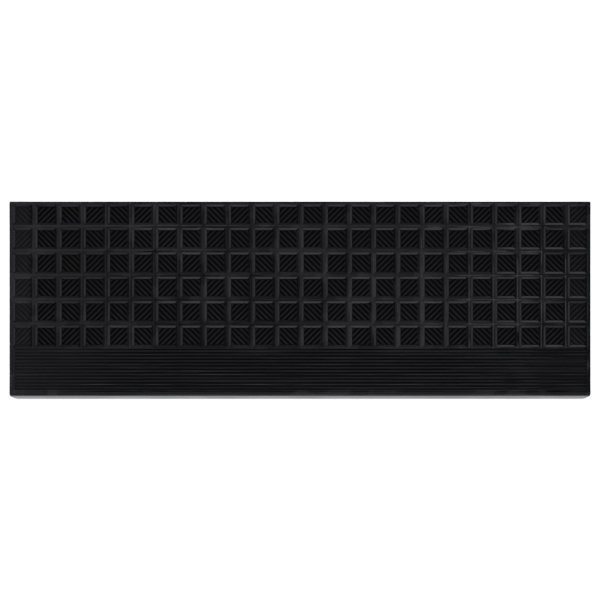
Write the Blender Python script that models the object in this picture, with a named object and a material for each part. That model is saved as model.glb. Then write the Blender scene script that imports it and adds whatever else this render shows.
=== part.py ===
"""Moulded rubber step mat with a ribbed nosing and a down-turned lip.

Metres, +Z up. X runs along the mat, +Y points to its back edge. The origin is the centre of the
overall box, on the level of the lip's toe, so the walking surface is LIP_HEIGHT above it.
The mat is one moulding. Its features are modelled as separate bodies, FIT_GAP apart.
"""

import math

import bmesh
import bpy
from mathutils import Matrix, Vector

# Overall sizes
LENGTH = 0.750  # left edge to right edge
SHEET_DEPTH = 0.2465  # back edge to the start of the bend
THICKNESS = 0.005  # underside to walking surface
BACK_CORNER_RADIUS = 0.0015
FRONT_CORNER_RADIUS = 0.008
FIT_GAP = 0.0003  # between neighbouring bodies

# Layers
SHEET_THICKNESS = 0.0018
WEB_THICKNESS = 0.0006  # skin that carries the diagonal ribs

# Borders, measured at their foot
SIDE_RIM_WIDTH = 0.00735
BACK_RIM_WIDTH = 0.0056
FRONT_BAR_WIDTH = 0.0052
SHOULDER = 0.0026  # slope from a top down to the cell floor, in plan

# Lattice
COLUMNS = 24
ROWS = 6
BAR_WIDTH = 0.0098  # at the foot

# Diagonal ribs in the cells
RIB_PITCH = 0.00525
RIB_WIDTH = 0.0032
RIB_HEIGHT = 0.0012
RIB_ANGLE = math.radians(45)
RIB_SINK = 0.0002  # depth that a rib is rooted in its web
SHORTEST_RIB = 0.002

# Nosing
NOSING_DEPTH = 0.0565  # front bar to the start of the bend
NOSING_RIBS = 12
NOSING_RIB_HEIGHT = 0.0012
NOSING_RIB_TOP = 0.0020
NOSING_RIB_FOOT = 0.0030
NOSING_GROOVE = 0.0013  # between the feet of neighbouring ribs

# Bend and lip
LIP_HEIGHT = 0.030  # walking surface to toe
LIP_THICKNESS = 0.003
LIP_FLARE = math.radians(10)  # the free lip leans out from vertical
BEND_RADIUS = 0.005
BEND_INNER_RADIUS = 0.001
BEND_TAIL = 0.003  # straight piece below the bend that still belongs to it
ARC_STEPS = 8

OVERCUT = 0.0005  # length by which a cutter passes the face it cuts

# Heights
TOP = LIP_HEIGHT
UNDERSIDE = TOP - THICKNESS
SHEET_TOP = UNDERSIDE + SHEET_THICKNESS
WEB_BOTTOM = SHEET_TOP + FIT_GAP
CELL_FLOOR = WEB_BOTTOM + WEB_THICKNESS
LATTICE_BOTTOM = CELL_FLOOR + FIT_GAP
NOSING_RIB_BOTTOM = TOP - NOSING_RIB_HEIGHT
NOSING_PAD_TOP = NOSING_RIB_BOTTOM - FIT_GAP

# Places along the depth. Forward is -Y.
FACE_DROP = LIP_HEIGHT - BEND_RADIUS * (1 - math.sin(LIP_FLARE))
TOE_REACH = BEND_RADIUS * math.cos(LIP_FLARE) + FACE_DROP * math.tan(LIP_FLARE)
BACK_Y = (SHEET_DEPTH + TOE_REACH) / 2
BEND_Y = BACK_Y - SHEET_DEPTH
FRONT_Y = -BACK_Y
NOSING_BACK_Y = BEND_Y + NOSING_DEPTH
NOSING_RIB_PITCH = NOSING_RIB_FOOT + NOSING_GROOVE
BAND_BACK_Y = NOSING_BACK_Y - NOSING_GROOVE - NOSING_RIBS * NOSING_RIB_PITCH
FIELD_BACK_Y = BACK_Y - BACK_RIM_WIDTH
FIELD_FRONT_Y = NOSING_BACK_Y + FRONT_BAR_WIDTH
FIELD_HALF_LENGTH = LENGTH / 2 - SIDE_RIM_WIDTH
COLUMN_PITCH = LENGTH / COLUMNS
ROW_PITCH = (FIELD_BACK_Y - FIELD_FRONT_Y + BAR_WIDTH) / ROWS

# Directions in the (y, z) plane of the lip
DOWN_THE_LIP = Vector((-math.sin(LIP_FLARE), -math.cos(LIP_FLARE)))
INTO_THE_LIP = Vector((math.cos(LIP_FLARE), -math.sin(LIP_FLARE)))

POLISHED = {"colour": (0.016, 0.016, 0.018, 1.0), "roughness": 0.32}
DULL = {"colour": (0.010, 0.010, 0.011, 1.0), "roughness": 0.55}


def clear_scene():
    for obj in list(bpy.data.objects):
        bpy.data.objects.remove(obj, do_unlink=True)


def add_collection(name):
    collection = bpy.data.collections.new(name)
    bpy.context.scene.collection.children.link(collection)
    return collection


clear_scene()
PARTS = add_collection("step_mat")
CUTTERS = add_collection("step_mat_cutters")
FRAME = bpy.data.objects.new("step_mat_frame", None)
PARTS.objects.link(FRAME)


def rubber(name, finish):
    material = bpy.data.materials.new(name + "_rubber")
    material.use_nodes = True
    shader = material.node_tree.nodes["Principled BSDF"]
    shader.inputs["Base Color"].default_value = finish["colour"]
    shader.inputs["Roughness"].default_value = finish["roughness"]
    shader.inputs["Metallic"].default_value = 0.0
    return material


def add_part(name, data, finish, location=(0, 0, 0), rotation=(0, 0, 0)):
    part = bpy.data.objects.new(name, data)
    part.data.materials.append(rubber(name, finish))
    part.location = location
    part.rotation_euler = rotation
    part.parent = FRAME
    PARTS.objects.link(part)
    return part


def add_cutter(name, data, location=(0, 0, 0)):
    cutter = bpy.data.objects.new(name, data)
    cutter.location = location
    cutter.hide_render = True
    cutter.display_type = "WIRE"
    CUTTERS.objects.link(cutter)
    return cutter


def add_boolean(part, cutter, operation):
    boolean = part.modifiers.new(cutter.name, "BOOLEAN")
    boolean.object = cutter
    boolean.operation = operation
    boolean.solver = "EXACT"


def mesh_of(name, bm):
    bmesh.ops.recalc_face_normals(bm, faces=bm.faces)
    mesh = bpy.data.meshes.new(name)
    bm.to_mesh(mesh)
    bm.free()
    return mesh


def box_mesh(name, size):
    bm = bmesh.new()
    bmesh.ops.create_cube(bm, size=1.0, matrix=Matrix.Diagonal((*size, 1.0)))
    return mesh_of(name, bm)


def add_box(name, low, high, finish):
    low = Vector(low)
    high = Vector(high)
    return add_part(name, box_mesh(name, high - low), finish, location=(low + high) / 2)


def outline_curve(name, outline, thickness):
    """A flat closed outline, filled on both sides and extruded to the given thickness."""
    curve = bpy.data.curves.new(name, "CURVE")
    curve.dimensions = "2D"
    curve.fill_mode = "BOTH"
    curve.extrude = thickness / 2
    spline = curve.splines.new("POLY")
    spline.points.add(len(outline) - 1)
    for point, (u, v) in zip(spline.points, outline):
        point.co = (u, v, 0, 1)
    spline.use_cyclic_u = True
    return curve


def add_long_bar(name, outline, finish, half_length):
    """A bar along X whose section is an outline in (y, z)."""
    curve = outline_curve(name, outline, 2 * half_length)
    return add_part(name, curve, finish, rotation=(math.pi / 2, 0, math.pi / 2))


def add_deep_bar(name, outline, finish, back, front):
    """A bar along Y whose section is an outline in (x, z)."""
    curve = outline_curve(name, outline, back - front)
    location = (0, (back + front) / 2, 0)
    return add_part(name, curve, finish, location=location, rotation=(math.pi / 2, 0, 0))


def make_solid(part):
    """Turns a curve part into a welded mesh part, which a Boolean can cut."""
    graph = bpy.context.evaluated_depsgraph_get()
    mesh = bpy.data.meshes.new_from_object(part.evaluated_get(graph))
    bm = bmesh.new()
    bm.from_mesh(mesh)
    bmesh.ops.remove_doubles(bm, verts=bm.verts, dist=1e-6)
    bmesh.ops.recalc_face_normals(bm, faces=bm.faces)
    bm.to_mesh(mesh)
    bm.free()
    name = part.name
    curve = part.data
    solid = bpy.data.objects.new(name + "_solid", mesh)
    solid.matrix_world = part.matrix_world
    solid.parent = FRAME
    PARTS.objects.link(solid)
    bpy.data.objects.remove(part, do_unlink=True)
    bpy.data.curves.remove(curve)
    solid.name = name
    return solid


def arc(centre, radius, start, end):
    """Points on an arc in a plane, from one angle to the other."""
    points = []
    for step in range(ARC_STEPS + 1):
        angle = start + (end - start) * step / ARC_STEPS
        points.append(Vector(centre) + radius * Vector((math.cos(angle), math.sin(angle))))
    return points


def add_plan_cutter():
    """The mat's outline seen from above, with its rounded corners, through its whole height."""
    half = LENGTH / 2
    quarter = math.pi / 2
    corners = (
        (half, BACK_Y, BACK_CORNER_RADIUS, 0),
        (-half, BACK_Y, BACK_CORNER_RADIUS, quarter),
        (-half, FRONT_Y, FRONT_CORNER_RADIUS, 2 * quarter),
        (half, FRONT_Y, FRONT_CORNER_RADIUS, 3 * quarter),
    )
    outline = []
    for x, y, radius, start in corners:
        centre = (x - math.copysign(radius, x), y - math.copysign(radius, y))
        outline += arc(centre, radius, start, start + quarter)
    curve = outline_curve("plan_outline", outline, TOP + 2 * OVERCUT)
    guide = add_part("plan_outline", curve, DULL, location=(0, 0, TOP / 2))
    bpy.context.view_layer.update()
    solid = make_solid(guide)
    mesh = solid.data
    bpy.data.objects.remove(solid, do_unlink=True)
    return add_cutter("plan_outline", mesh, location=(0, 0, TOP / 2))


def add_base_sheet(plan):
    low = (-LENGTH / 2, BAND_BACK_Y + FIT_GAP, UNDERSIDE)
    high = (LENGTH / 2, BACK_Y, SHEET_TOP)
    sheet = add_box("base_sheet", low, high, DULL)
    add_boolean(sheet, plan, "INTERSECT")


def add_side_rim(name, side, plan):
    """A flat-topped rim with a shoulder towards the cells."""
    edge = side * LENGTH / 2
    shoulder_top = edge - side * (SIDE_RIM_WIDTH - SHOULDER)
    foot = edge - side * SIDE_RIM_WIDTH
    outline = [
        (edge, WEB_BOTTOM),
        (edge, TOP),
        (shoulder_top, TOP),
        (foot, CELL_FLOOR),
        (foot, WEB_BOTTOM),
    ]
    rim = add_deep_bar(name, outline, POLISHED, BACK_Y, BAND_BACK_Y + FIT_GAP)
    bpy.context.view_layer.update()
    rim = make_solid(rim)
    add_boolean(rim, plan, "INTERSECT")


def add_back_rim():
    outline = [
        (BACK_Y, WEB_BOTTOM),
        (BACK_Y, TOP),
        (FIELD_BACK_Y + SHOULDER, TOP),
        (FIELD_BACK_Y, CELL_FLOOR),
        (FIELD_BACK_Y, WEB_BOTTOM),
    ]
    add_long_bar("back_rim", outline, POLISHED, FIELD_HALF_LENGTH - FIT_GAP)


def add_front_bar():
    """The bar between the last row of cells and the nosing."""
    front = NOSING_BACK_Y + FIT_GAP
    outline = [
        (front, WEB_BOTTOM),
        (front, TOP),
        (FIELD_FRONT_Y - SHOULDER, TOP),
        (FIELD_FRONT_Y, CELL_FLOOR),
        (FIELD_FRONT_Y, WEB_BOTTOM),
    ]
    add_long_bar("front_bar", outline, POLISHED, FIELD_HALF_LENGTH - FIT_GAP)


def cell_window(row, column):
    """Lowest and highest (x, y) of a cell at its floor. Row 0 is at the back, column 0 at the left."""
    left = -LENGTH / 2 + column * COLUMN_PITCH
    low_x = max(left + BAR_WIDTH / 2, -FIELD_HALF_LENGTH)
    high_x = min(left + COLUMN_PITCH - BAR_WIDTH / 2, FIELD_HALF_LENGTH)
    high_y = FIELD_BACK_Y - row * ROW_PITCH
    low_y = high_y - (ROW_PITCH - BAR_WIDTH)
    return Vector((low_x, low_y)), Vector((high_x, high_y))


def add_window(bm, low, high):
    """A block that fills a cell and widens upwards at the slope of the bars' shoulders."""
    slope = SHOULDER / (TOP - CELL_FLOOR)
    centre = (low + high) / 2
    size = high - low
    bottom = LATTICE_BOTTOM - OVERCUT
    top = TOP + OVERCUT
    place = Matrix.Translation((*centre, (bottom + top) / 2))
    scale = Matrix.Diagonal((*size, top - bottom, 1.0))
    for vertex in bmesh.ops.create_cube(bm, size=1.0, matrix=place @ scale)["verts"]:
        grow = slope * (vertex.co.z - CELL_FLOOR)
        vertex.co.x += math.copysign(grow, vertex.co.x - centre.x)
        vertex.co.y += math.copysign(grow, vertex.co.y - centre.y)


def add_lattice_grid():
    bm = bmesh.new()
    for row in range(ROWS):
        for column in range(COLUMNS):
            low, high = cell_window(row, column)
            add_window(bm, low, high)
    windows = add_cutter("lattice_windows", mesh_of("lattice_windows", bm))
    half = FIELD_HALF_LENGTH - FIT_GAP
    low = (-half, FIELD_FRONT_Y + FIT_GAP, LATTICE_BOTTOM)
    high = (half, FIELD_BACK_Y - FIT_GAP, TOP)
    grid = add_box("lattice_grid", low, high, POLISHED)
    add_boolean(grid, windows, "DIFFERENCE")


def chord(point, direction, low, high):
    """Where a straight line through a point enters and leaves a rectangle, as lengths along it."""
    start = -math.inf
    end = math.inf
    for axis in (0, 1):
        one = (low[axis] - point[axis]) / direction[axis]
        other = (high[axis] - point[axis]) / direction[axis]
        start = max(start, min(one, other))
        end = min(end, max(one, other))
    return start, end


def add_rib(bm, centre, angle, length):
    """A ridge-topped prism along the given direction, rooted in the web."""
    root = CELL_FLOOR - RIB_SINK
    height = RIB_HEIGHT + RIB_SINK
    width = RIB_WIDTH * height / RIB_HEIGHT
    place = Matrix.Translation((*centre, root + height / 2)) @ Matrix.Rotation(angle, 4, "Z")
    made = bmesh.ops.create_cube(bm, size=1.0, matrix=Matrix.Diagonal((length, width, height, 1.0)))
    for vertex in made["verts"]:
        if vertex.co.z > 0:
            vertex.co.y = 0
    bmesh.ops.transform(bm, matrix=place, verts=made["verts"])
    bmesh.ops.remove_doubles(bm, verts=made["verts"], dist=1e-6)


def cell_rib_angle(row, column):
    """The ribs' direction turns from cell to cell like the squares of a chessboard."""
    return RIB_ANGLE if (row + column) % 2 else -RIB_ANGLE


def add_tread_row(row):
    """A thin web under one row of cells, with the diagonal ribs that stand in them."""
    name = f"tread_row_{row + 1}"
    ribs = bmesh.new()
    windows = bmesh.new()
    clearance = Vector((FIT_GAP, FIT_GAP))
    for column in range(COLUMNS):
        low, high = cell_window(row, column)
        low += clearance
        high -= clearance
        middle = Vector((-LENGTH / 2 + (column + 0.5) * COLUMN_PITCH, (low.y + high.y) / 2))
        angle = cell_rib_angle(row, column)
        along = Vector((math.cos(angle), math.sin(angle)))
        across = Vector((-along.y, along.x))
        diagonal = (high - low).length
        pairs = int((diagonal / 2 - RIB_WIDTH / 2) / RIB_PITCH + 0.5)
        for index in range(2 * pairs):
            point = middle + across * RIB_PITCH * (index - pairs + 0.5)
            start, end = chord(point, along, low, high)
            if end - start > SHORTEST_RIB:
                centre = point + along * (start + end) / 2
                add_rib(ribs, centre, angle, end - start + 2 * RIB_WIDTH)
        size = (*(high - low), 2 * RIB_HEIGHT + 2 * RIB_SINK)
        place = Matrix.Translation((*((low + high) / 2), CELL_FLOOR))
        bmesh.ops.create_cube(windows, size=1.0, matrix=place @ Matrix.Diagonal((*size, 1.0)))
    window_block = add_cutter(name + "_windows", mesh_of(name + "_windows", windows))
    rib_block = add_cutter(name + "_ribs", mesh_of(name + "_ribs", ribs))
    add_boolean(rib_block, window_block, "INTERSECT")

    bar_middle = BAR_WIDTH / 2 - FIT_GAP / 2
    low, high = cell_window(row, 0)
    back = FIELD_BACK_Y - FIT_GAP if row == 0 else high.y + bar_middle
    front = FIELD_FRONT_Y + FIT_GAP if row == ROWS - 1 else low.y - bar_middle
    half = FIELD_HALF_LENGTH - FIT_GAP
    web = add_box(name, (-half, front, WEB_BOTTOM), (half, back, CELL_FLOOR), DULL)
    add_boolean(web, rib_block, "UNION")


def add_nosing_pad():
    half = FIELD_HALF_LENGTH - FIT_GAP
    low = (-half, BAND_BACK_Y + FIT_GAP, WEB_BOTTOM)
    high = (half, NOSING_BACK_Y, NOSING_PAD_TOP)
    add_box("nosing_pad", low, high, DULL)


def add_nosing_rib(index):
    middle = NOSING_BACK_Y - (index + 0.5) * NOSING_RIB_PITCH - NOSING_GROOVE / 2
    outline = [
        (middle - NOSING_RIB_FOOT / 2, NOSING_RIB_BOTTOM),
        (middle + NOSING_RIB_FOOT / 2, NOSING_RIB_BOTTOM),
        (middle + NOSING_RIB_TOP / 2, TOP),
        (middle - NOSING_RIB_TOP / 2, TOP),
    ]
    add_long_bar(f"nosing_rib_{index + 1:02d}", outline, POLISHED, FIELD_HALF_LENGTH - FIT_GAP)


def lip_corner():
    """Where the lip's outer face starts, below the bend."""
    centre = Vector((BEND_Y, TOP - BEND_RADIUS))
    return centre + BEND_RADIUS * Vector((-math.cos(LIP_FLARE), math.sin(LIP_FLARE)))


def down_to(point, level):
    """The point reached from the given one by going down the lip's slope to a level."""
    return point + DOWN_THE_LIP * (point.y - level) / -DOWN_THE_LIP.y


def add_nosing_bend(plan):
    """The smooth band in front of the ribs, which rolls over into the lip."""
    centre = (BEND_Y, TOP - BEND_RADIUS)
    outer_end = lip_corner() + BEND_TAIL * DOWN_THE_LIP
    inner_end = outer_end + LIP_THICKNESS * INTO_THE_LIP
    corner = down_to(inner_end, UNDERSIDE)
    half_angle = (math.pi / 2 + LIP_FLARE) / 2
    tangent = BEND_INNER_RADIUS / math.tan(half_angle)
    fillet_centre = (corner.x + tangent, UNDERSIDE - BEND_INNER_RADIUS)
    outline = arc(centre, BEND_RADIUS, math.pi / 2, math.pi - LIP_FLARE)
    outline += [outer_end, inner_end]
    outline += arc(fillet_centre, BEND_INNER_RADIUS, math.pi - LIP_FLARE, math.pi / 2)
    outline += [Vector((BAND_BACK_Y, UNDERSIDE)), Vector((BAND_BACK_Y, TOP))]
    bend = add_long_bar("nosing_bend", outline, POLISHED, LENGTH / 2)
    bpy.context.view_layer.update()
    bend = make_solid(bend)
    add_boolean(bend, plan, "INTERSECT")


def add_front_lip(plan):
    outer = lip_corner() + (BEND_TAIL + FIT_GAP) * DOWN_THE_LIP
    inner = outer + LIP_THICKNESS * INTO_THE_LIP
    outline = [outer, down_to(outer, 0), down_to(inner, 0), inner]
    lip = add_long_bar("front_lip", outline, POLISHED, LENGTH / 2)
    bpy.context.view_layer.update()
    lip = make_solid(lip)
    add_boolean(lip, plan, "INTERSECT")


def main():
    plan = add_plan_cutter()
    add_base_sheet(plan)
    add_side_rim("left_rim", -1, plan)
    add_side_rim("right_rim", 1, plan)
    add_back_rim()
    add_front_bar()
    add_lattice_grid()
    for row in range(ROWS):
        add_tread_row(row)
    add_nosing_pad()
    for index in range(NOSING_RIBS):
        add_nosing_rib(index)
    add_nosing_bend(plan)
    add_front_lip(plan)


main()
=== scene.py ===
"""Visual model of a moulded rubber step mat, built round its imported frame. Metres, +Z up, +Y to the back."""
import math

import bpy
import numpy as np
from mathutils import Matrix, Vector


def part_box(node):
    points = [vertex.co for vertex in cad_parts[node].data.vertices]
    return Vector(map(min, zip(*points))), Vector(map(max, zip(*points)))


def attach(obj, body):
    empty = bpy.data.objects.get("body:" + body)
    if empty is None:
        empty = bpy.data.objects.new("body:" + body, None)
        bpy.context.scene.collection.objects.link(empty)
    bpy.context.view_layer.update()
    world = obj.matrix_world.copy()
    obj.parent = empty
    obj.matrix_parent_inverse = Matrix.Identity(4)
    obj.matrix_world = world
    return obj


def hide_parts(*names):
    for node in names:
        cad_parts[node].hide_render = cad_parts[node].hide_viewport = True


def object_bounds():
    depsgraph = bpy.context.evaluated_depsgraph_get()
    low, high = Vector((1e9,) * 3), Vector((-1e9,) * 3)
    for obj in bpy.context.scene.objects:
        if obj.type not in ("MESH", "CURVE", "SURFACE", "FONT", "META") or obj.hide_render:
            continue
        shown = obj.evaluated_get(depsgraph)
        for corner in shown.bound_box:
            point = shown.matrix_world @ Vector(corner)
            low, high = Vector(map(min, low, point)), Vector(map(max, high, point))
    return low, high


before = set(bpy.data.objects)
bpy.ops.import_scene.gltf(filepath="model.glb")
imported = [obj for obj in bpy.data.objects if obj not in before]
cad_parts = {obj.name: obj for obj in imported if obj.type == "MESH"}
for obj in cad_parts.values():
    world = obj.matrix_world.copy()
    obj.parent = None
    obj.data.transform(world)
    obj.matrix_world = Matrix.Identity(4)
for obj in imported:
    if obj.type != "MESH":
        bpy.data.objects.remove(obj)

bl_info = {
    "name": "Moulded step mat",
    "version": (1, 0, 0),
    "blender": (4, 5, 0),
    "location": "3D View > Sidebar > Step Mat",
    "description": "Builds a ribbed rubber step mat and its studio",
    "category": "Object",
}

CAD_LOW, CAD_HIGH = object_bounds()
BODY = "root"

# Places read from the frame
HALF_LENGTH = CAD_HIGH.x
BACK_Y = CAD_HIGH.y
FRONT_Y = CAD_LOW.y
TOP = CAD_HIGH.z
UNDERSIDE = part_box("base_sheet")[0].z
SHEET_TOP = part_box("base_sheet")[1].z
NOSING_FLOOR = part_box("nosing_pad")[1].z
NOSING_BACK_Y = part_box("nosing_pad")[1].y
BAND_BACK_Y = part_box("nosing_bend")[1].y
NOSING_RIB_NAMES = sorted(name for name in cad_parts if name.startswith("nosing_rib"))
TREAD_ROW_NAMES = sorted(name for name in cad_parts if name.startswith("tread_row"))

# Lattice
COLUMNS = 24
ROWS = len(TREAD_ROW_NAMES)
BAR_FOOT = 0.0098  # width of a bar at its foot
SIDE_RIM = 0.00735  # outer edge to the foot of the rim
BACK_RIM = 0.0056
BACK_SHOULDER_SHIFT = 0.0012  # the back rim's own shoulder stands this much further in
FRONT_BAR = 0.0052
RELIEF = 0.0023  # cell floor to the walking surface
CELL_FLOOR = TOP - RELIEF
FIELD_BACK_Y = BACK_Y - BACK_RIM
FIELD_FRONT_Y = NOSING_BACK_Y + FRONT_BAR
FIELD_HALF = HALF_LENGTH - SIDE_RIM
COLUMN_PITCH = 2 * HALF_LENGTH / COLUMNS
ROW_PITCH = (FIELD_BACK_Y - FIELD_FRONT_Y + BAR_FOOT) / ROWS
SEAM = 0.0035  # foot of a rim to the line where the lattice hands over to it
ROOT_DEPTH = 0.0003  # how far a raised piece's root goes below the floor that it stands on
LATTICE_BOTTOM = CELL_FLOOR - ROOT_DEPTH
RIM_FOOT_OFFSET = 0.0036  # foot of a side rim to the first point past its shoulder, beside the nosing
RIM_OFFSETS = (0.0043, 0.0053)  # the next points over a side rim
BACK_RIM_OFFSETS = (0.0049, 0.0043)  # points over the back rim, from its foot, the outer one first
BORDER_TOLERANCE = 1e-7
WINDOW_CORNER = 0.0008
CORNER_STEPS = 4
SIDE_SHARES = (0.02, 0.2, 0.4, 0.6, 0.8, 0.98)  # points along each side, the outer two close to the corners
SIDE_STEPS = len(SIDE_SHARES) + 1

# Rounding
SHOULDER_RUN = 0.0031
SHOULDER_FOOT_RADIUS = 0.0003
SHOULDER_TOP_RADIUS = 0.0006
CROWN = 0.13  # share of the relief that a bar's top falls by, towards its edges
EDGE_RADIUS = 0.0003
BACK_CORNER = 0.0015
FRONT_CORNER = 0.008
EDGE_INSETS = (0.0, 0.00002, 0.00006, 0.00013, 0.00022, 0.0003)
SHEET_SOFTENING = 0.0004  # rounding of the sheet's lower edge
FRONT_BAR_EDGE = 0.0005  # rounding of the front bar towards the nosing
FRONT_BAR_TURN = math.radians(75)
PART_STEP = 0.004  # spacing of the cross sections of a long piece
SHARP_ANGLE = math.radians(40)  # edges that turn by more than this stay sharp

# Diagonal ribs
RIB_PITCH = 0.00525
RIB_FOOT = 0.0032
RIB_RISE = 0.0008
RIB_RUN = 0.0011
RIB_FOOT_RADIUS = 0.00025
RIB_TOP_RADIUS = 0.0006
RIB_REACH = 0.0003  # how far a rib runs into the bars' shoulders
RIB_FAR_REACH = 0.0014  # the same at a cell's right side
RIB_END_RUN = 0.0020  # length over which a rib's end comes down
RIB_END_SHARE = 0.15  # share of the rib's height left at its end
RIB_LIT_SHARE = 0.35  # above this share of its height a rib takes the rib rubber; below it the floor rubber, darker as painted shade
RIB_SHORTEST = 0.002  # a rib that would be shorter than this is left out
RIB_ROOT = CELL_FLOOR - ROOT_DEPTH

# Nosing ribs
NOSING_RUN = 0.0008
NOSING_FOOT_RADIUS = 0.0002
NOSING_TOP_RADIUS = 0.0005
NOSING_RIB_HALF = 0.0015
NOSING_LEAN = 0.045  # greatest even slope across a rib's top; each wave adds up to half of it
NOSING_WAVES = 4
NOSING_WAVE_LONG = 0.3
NOSING_WAVE_SHORT = 0.06
NOSING_SEED = 21
NOSING_BACK_SLOPES = (0.17, 0.01, 0.06)  # slope of the back part of a rib's top, in turns of three ribs
NOSING_BACK_SLOPE_FROM = 0.0001
NOSING_RIB_ENDS = 0.0025  # how far the ribs run into the side rims
NOSING_OVERLAP = 0.0002  # how far the nosing's floor runs under the rims, and the front bar over it
NOSING_PAD_STEP = 0.02

# Lip
BEND_RADIUS = 0.005
LIP_THICKNESS = 0.003
LIP_FLARE = math.radians(10)
BEND_STEPS = 20
BAND_EDGE = 0.0004  # rounding of the band's back edge
BAND_EDGE_TURN = math.radians(20)
INNER_FILLET = 0.0012  # between the underside and the back of the lip
TOE_RADIUS = 0.0006
TOE_TURN = math.radians(80)
TOE_INNER = (0.5, 0.6)  # inner corner of the toe, forward and down, in toe radii
LIP_STEP = 0.005
LIP_CORNER_STEPS = 14
LIP_DULL_LEVEL = 0.028  # the lip is duller below this level
LIP_SETTLE_LOW = 0.012  # below this level the lip hangs true

# Slow unevenness of the moulding
WAVE_DEPTH = 0.0005
WAVE_COUNT = 16
WAVE_LONG = 0.085
WAVE_SHORT = 0.028
WAVE_CONTRAST = 0.6
WAVE_SEED = 7

# Finish
# darker than the raised rubber: painted shade on the nosing's ribs and grooves
NOSING_SHADED_COLOUR = (0.0035, 0.0035, 0.004)
CLOUD_SCALE = 14.0
CLOUD_STOPS = ((0.3, 0.8), (0.75, 1.35))  # (noise, factor) by which the clouds shade the colour
CLOUD_SHARE = 0.65  # share of the clouds in the gloss; the streaks have the rest
GLOSS_STREAKS = (18.0, 160.0, 60.0)  # streaks a metre along each axis
GLOSS_RANGE = (0.35, 0.68)  # clouds and streaks between which the rubber turns duller
PATCH_SCALE = 21.0
PATCH_FROM, PATCH_TO = 0.51, 0.62  # noise between which a patch of painted light fades in
NO_PULL = (1.0, 1.0, 1.0)
STREAKS = (0.25, 5.0, 1.0)  # pull of the patches along the nosing
END_FADE = (0.339, 0.354)  # distances from the middle at which the painted light at the ends starts and is full
NOSING_FADE = (0.2, 0.345)  # the same for the nosing's floor
# share of the painted light at the left end that the right end gets
RIGHT_END_SHARE = 0.4
DUST_SCALE = 520.0
DUST_RADIUS = (0.04, 0.10)  # full and gone, in cells of the speck pattern
DUST_RARITY = 0.93  # share of the specks that are left out
DUST_COLOUR = (0.11, 0.11, 0.11)
SKIN_SCALE = 1500.0
SKIN_DEPTH = 0.00004
PULL_SCALE = 95.0  # the broader unevenness of the skin
PULL_DEPTH = 0.00012
PULL_STRENGTH = 0.5

# Stage
FLOOR_REACH = 6.0
FLOOR_GLOW = 0.85  # the floor's and the step's own light, which keeps them white
STEP_INSET = 0.012  # the step's sides and back behind the mat's
STEP_FRONT_INSET = 0.013  # the step's front behind the mat's
STEP_GAP = 0.0001  # left under the step and over it
AMBIENT = 0.085  # light that the backdrop gives
CAMERA_Y = 0.0009
LAMP_TINT = (0.96, 0.965, 1.06)
CEILING = (-1.6, 1.6, -1.0, 1.0)
CEILING_HEIGHT = 1.9
CEILING_CLOUD = (0.42, 0.56)  # noise between which the ceiling turns from dim to bright
CEILING_GLOW = (0.09, 0.46)
CEILING_SHADE_X = (0.2, 0.45)  # the ceiling falls off between these places
CEILING_SHADE = 0.45
CEILING_GAP = (0.32, 0.48, -0.12, 0.09)  # where the bare lamp shows past the panel
CEILING_GAP_HEIGHT = 1.89
CEILING_GAP_RADIANCE = 1.3
SOFTBOXES = (  # name, place, aim, (width, height), radiance
    ("right_softbox", (1.5, -0.1, 0.62), (0.1, -0.1, 0.55), (1.8, 1.2), 0.5),
    ("front_softbox", (0.06, -1.2, 0.27), (0.06, 0.0, 0.24), (0.72, 0.54), 0.42),
    ("front_fill", (0.05, -1.4, 0.31), (0.05, 0.0, 0.28), (2.6, 0.62), 0.44),
    ("front_strip", (0.0, -0.8, 1.88), (0.0, -0.8, 0.0), (2.4, 0.4), 1.0),
    ("back_strip", (-0.15, 0.4, 1.88), (-0.15, 0.4, 0.0), (1.2, 0.3), 0.42),
    ("back_softbox", (-0.1, 1.25, 0.26), (-0.1, 0.0, 0.22), (2.4, 0.5), 0.16),
    ("back_right_softbox", (0.66, 1.1, 0.26), (0.55, 0.0, 0.22), (0.62, 0.5), 0.75),
)

# Limits that several settings share
SHARE = {"min": 0.0, "max": 1.0, "subtype": "FACTOR"}
COLOUR = {"size": 3, "min": 0.0, "max": 1.0, "subtype": "COLOR"}


class StepMatSizes(bpy.types.PropertyGroup):
    """Sizes of the relief and of its unevenness"""

    relief_crown: bpy.props.FloatProperty(
        name="Crown",
        description="Share of the relief by which a bar's top falls towards its edges",
        default=CROWN, min=0.0, max=0.4, subtype="FACTOR",
    )
    wave_depth: bpy.props.FloatProperty(
        name="Unevenness",
        description="Depth of the slow unevenness of the walking surface",
        default=WAVE_DEPTH, min=0.0, max=0.0006, unit="LENGTH", precision=5,
    )
    edge_radius: bpy.props.FloatProperty(
        name="Edge radius",
        description="Rounding of the mat's outer top edge",
        default=EDGE_RADIUS, min=0.0002, max=0.0003, unit="LENGTH", precision=4,
    )


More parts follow.
